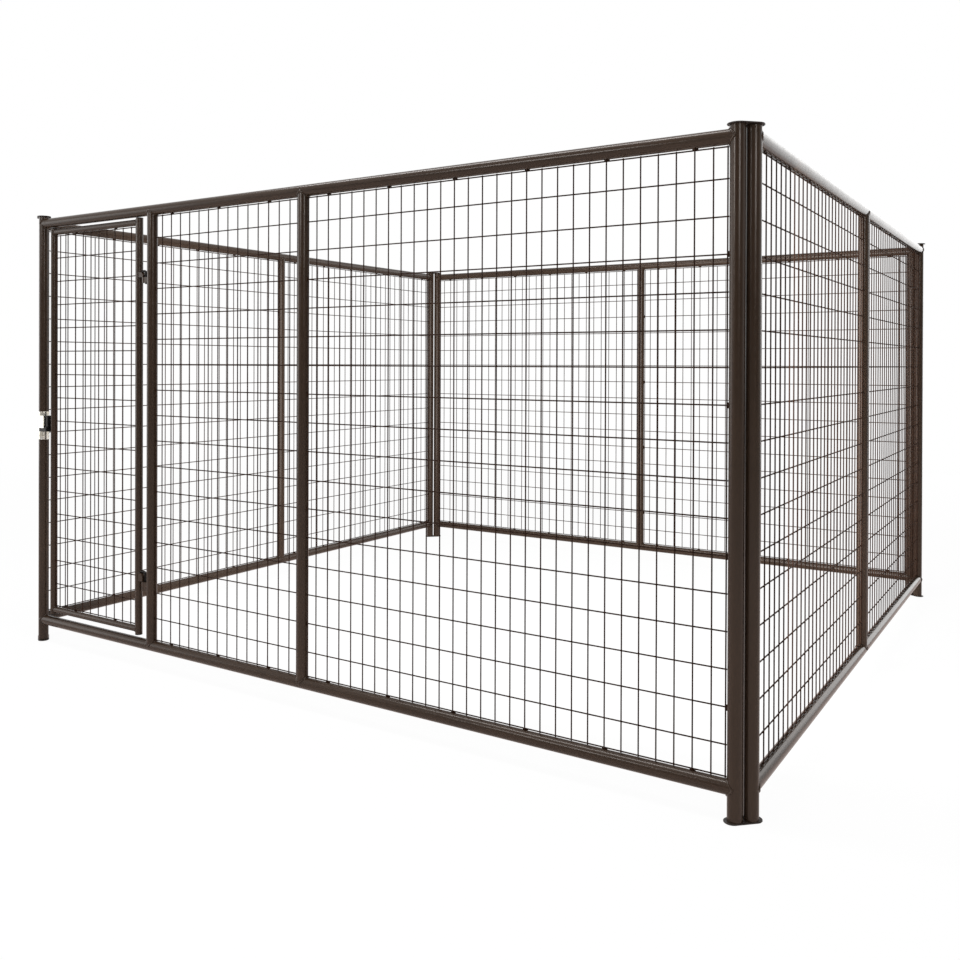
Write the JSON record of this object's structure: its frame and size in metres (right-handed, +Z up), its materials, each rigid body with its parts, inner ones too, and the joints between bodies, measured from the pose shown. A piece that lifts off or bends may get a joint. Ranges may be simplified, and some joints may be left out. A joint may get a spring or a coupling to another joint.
{
  "type": "outdoor dog kennel run",
  "caption": "Square outdoor dog run of round-tube panels filled with welded wire, joined by corner caps and feet, with a swing gate and a lift latch.",
  "frame": {"origin": "on the ground in the middle of the run", "axes": "+Z up, the gate panel on the -Y side, +X to the right seen from outside the gate panel"},
  "size_m": [3.1364, 3.122, 1.837],
  "materials": {
    "frame_paint": "satin dark brown powder coat on steel tube",
    "gate_paint": "satin dark brown powder coat on steel tube",
    "wire_paint": "satin dark brown powder coat on welded wire",
    "corner_plate": "moulded dark brown plastic, fine grain",
    "black_steel": "black coated steel",
    "black_plastic": "moulded black plastic",
    "zinc_plate": "bright zinc plate"
  },
  "bodies": {
    "frame": {"front_panel_left_post": "frame_paint", "front_panel_right_post": "frame_paint", "front_panel_mid_post": "frame_paint", "front_panel_top_rail": "frame_paint", "front_panel_bottom_rail": "frame_paint", "front_panel_left_mesh": "wire_paint", "front_panel_right_mesh": "wire_paint", "right_panel_front_post": "frame_paint", "right_panel_back_post": "frame_paint", "right_panel_mid_post": "frame_paint", "right_panel_top_rail": "frame_paint", "right_panel_bottom_rail": "frame_paint", "right_panel_front_mesh": "wire_paint", "right_panel_back_mesh": "wire_paint", "back_panel_right_post": "frame_paint", "back_panel_left_post": "frame_paint", "back_panel_mid_post": "frame_paint", "back_panel_top_rail": "frame_paint", "back_panel_bottom_rail": "frame_paint", "back_panel_right_mesh": "wire_paint", "back_panel_left_mesh": "wire_paint", "left_panel_back_post": "frame_paint", "left_panel_front_post": "frame_paint", "left_panel_mid_post": "frame_paint", "left_panel_top_rail": "frame_paint", "left_panel_bottom_rail": "frame_paint", "left_panel_back_mesh": "wire_paint", "left_panel_front_mesh": "wire_paint", "front_right_cap": "corner_plate", "front_right_foot": "corner_plate", "back_right_cap": "corner_plate", "back_right_foot": "corner_plate", "back_left_cap": "corner_plate", "back_left_foot": "corner_plate", "front_left_cap": "corner_plate", "front_left_foot": "corner_plate", "mesh_tabs": "wire_paint", "hinge_post": "frame_paint", "upper_hinge_lug": "frame_paint", "lower_hinge_lug": "frame_paint", "latch_sleeve": "zinc_plate"},
    "gate": {"gate_hinge_stile": "gate_paint", "gate_latch_stile": "gate_paint", "gate_top_rail": "gate_paint", "gate_bottom_rail": "gate_paint", "gate_mesh": "wire_paint", "gate_mesh_tabs": "wire_paint", "gate_stile_plugs": "black_plastic", "upper_pintle": "black_steel", "lower_pintle": "black_steel", "hinge_gussets": "gate_paint", "latch_body": "black_steel"},
    "latch": {"latch_shaft": "black_steel", "latch_front_bar": "black_steel", "latch_rear_bar": "black_steel", "latch_lift_plate": "zinc_plate"}
  },
  "joints": [
    {"name": "gate_swing", "type": "hinge", "parent": "frame", "child": "gate", "pos_m": [-0.83203, -1.53266, 0.916], "axis": [0, 0, 1], "range_deg": [0, 110]},
    {"name": "latch_lift", "type": "hinge", "parent": "gate", "child": "latch", "pos_m": [-1.45258, -1.53266, 0.916], "axis": [0, 1, 0], "range_deg": [0, 90]}
  ]
}
